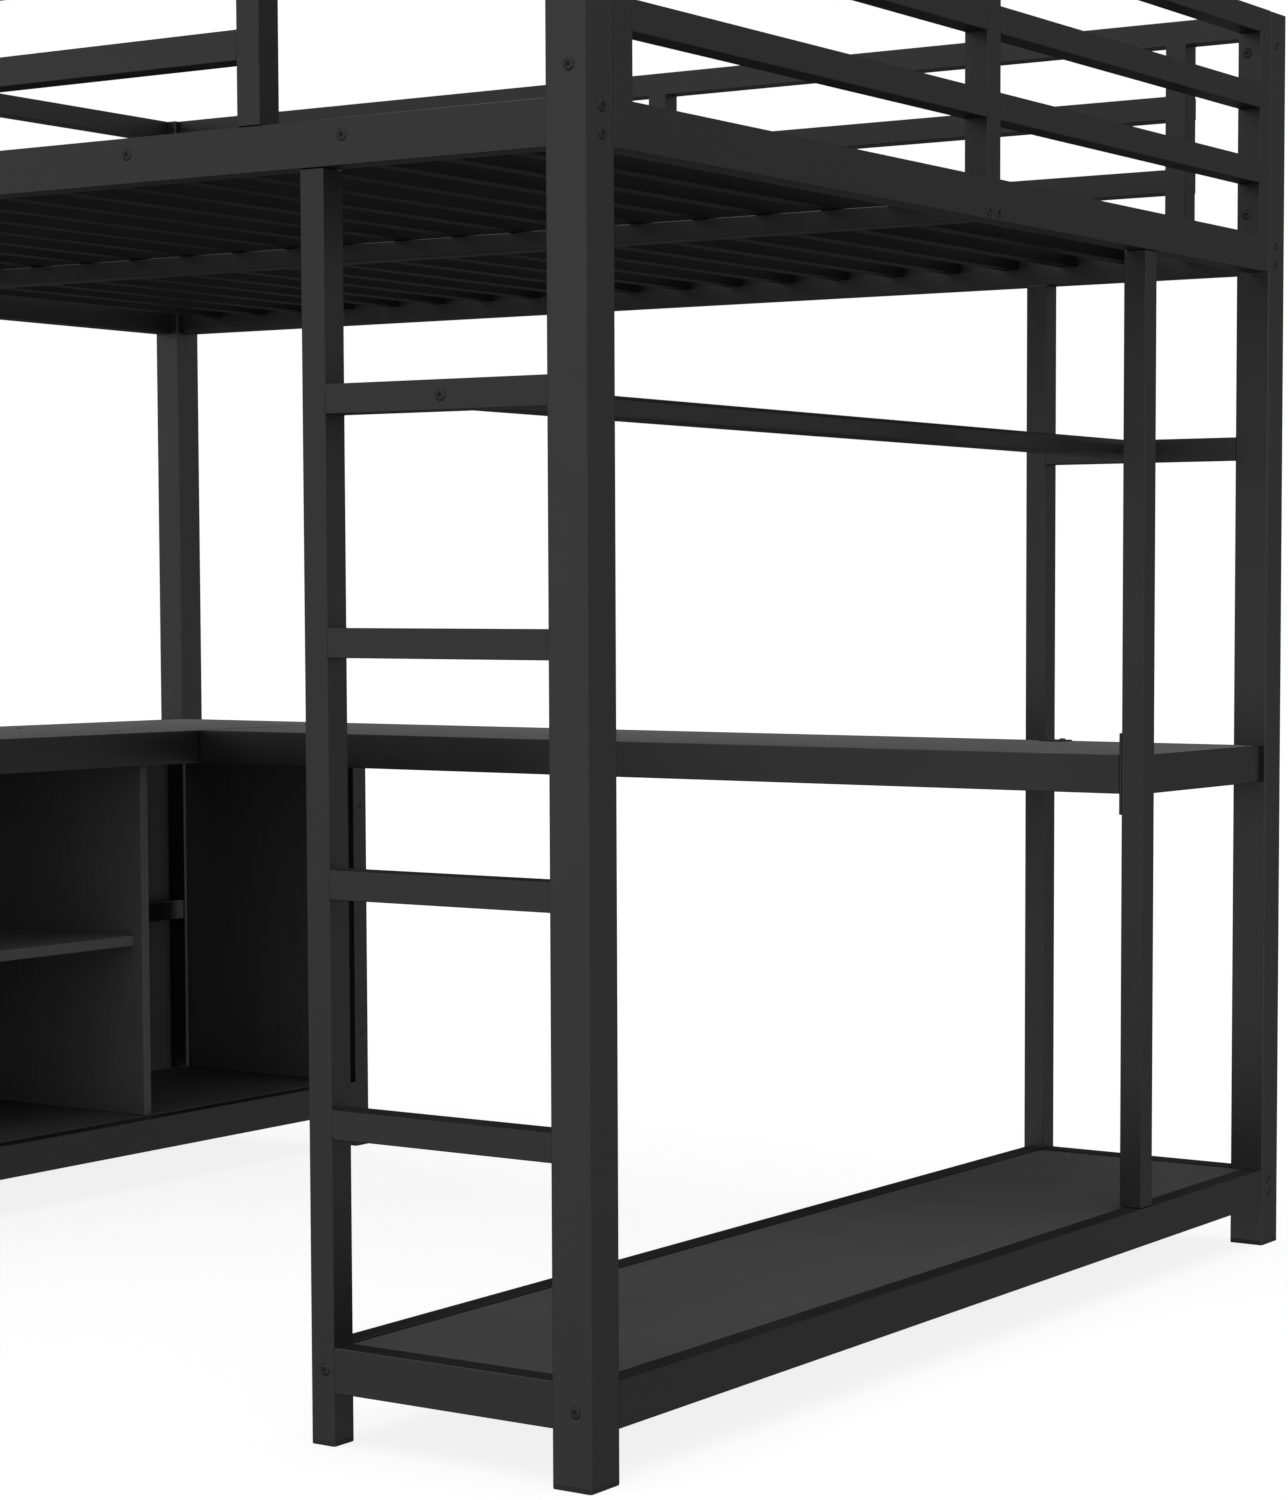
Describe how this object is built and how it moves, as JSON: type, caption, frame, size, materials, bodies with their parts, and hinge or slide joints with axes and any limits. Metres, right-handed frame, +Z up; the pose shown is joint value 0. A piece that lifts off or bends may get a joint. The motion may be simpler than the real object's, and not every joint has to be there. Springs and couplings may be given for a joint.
{
  "type": "loft bed with desk",
  "caption": "Black steel-tube loft bed with a side ladder, guards all round, an L-shaped desk, an open cabinet and a hanging bay over a low tray.",
  "frame": {"origin": "on the floor under the middle of the footprint", "axes": "+X along the bed towards the wardrobe end, +Y from the ladder side to the rear, +Z up"},
  "size_m": [2.11, 1.656, 1.74],
  "materials": {
    "steel": "satin black powder coat",
    "board": "matt black laminated particle board"
  },
  "bodies": {
    "root": {"post_front_right": "steel", "post_rear_right": "steel", "post_front_left": "steel", "post_rear_left": "steel", "bed_rail_front": "steel", "bed_rail_rear": "steel", "end_panel_right": "steel", "end_panel_left": "steel", "guard_rear": "steel", "guard_front": "steel", "centre_beam": "steel", "slat_01": "steel", "slat_02": "steel", "slat_03": "steel", "slat_04": "steel", "slat_05": "steel", "slat_06": "steel", "slat_07": "steel", "slat_08": "steel", "slat_09": "steel", "slat_10": "steel", "slat_11": "steel", "slat_12": "steel", "slat_13": "steel", "slat_14": "steel", "slat_15": "steel", "slat_16": "steel", "slat_17": "steel", "slat_18": "steel", "slat_19": "steel", "slat_20": "steel", "ladder": "steel", "bay_post_rear": "steel", "bay_stanchion": "steel", "bay_cross_rail": "steel", "hanging_bar": "steel", "desk_bracket_plate": "steel", "tray_rail_front": "steel", "tray_rail_rear": "steel", "tray_rail_right": "steel", "tray_rail_left": "steel", "desk_rail_front": "steel", "desk_rail_rear": "steel", "desk_rail_end": "steel", "desk_frame_long": "steel", "cabinet_leg_front": "steel", "cabinet_leg_rear": "steel", "cabinet_rail": "steel", "cabinet_back_tube": "steel", "tray_board": "board", "desk_board_rear": "board", "desk_board_long": "board", "cabinet_floor": "board", "cabinet_side_front": "board", "cabinet_side_rear": "board", "cabinet_divider_rear": "board", "cabinet_divider_front": "board", "cabinet_shelf": "board", "cabinet_back": "board"}
  },
  "joints": []
}
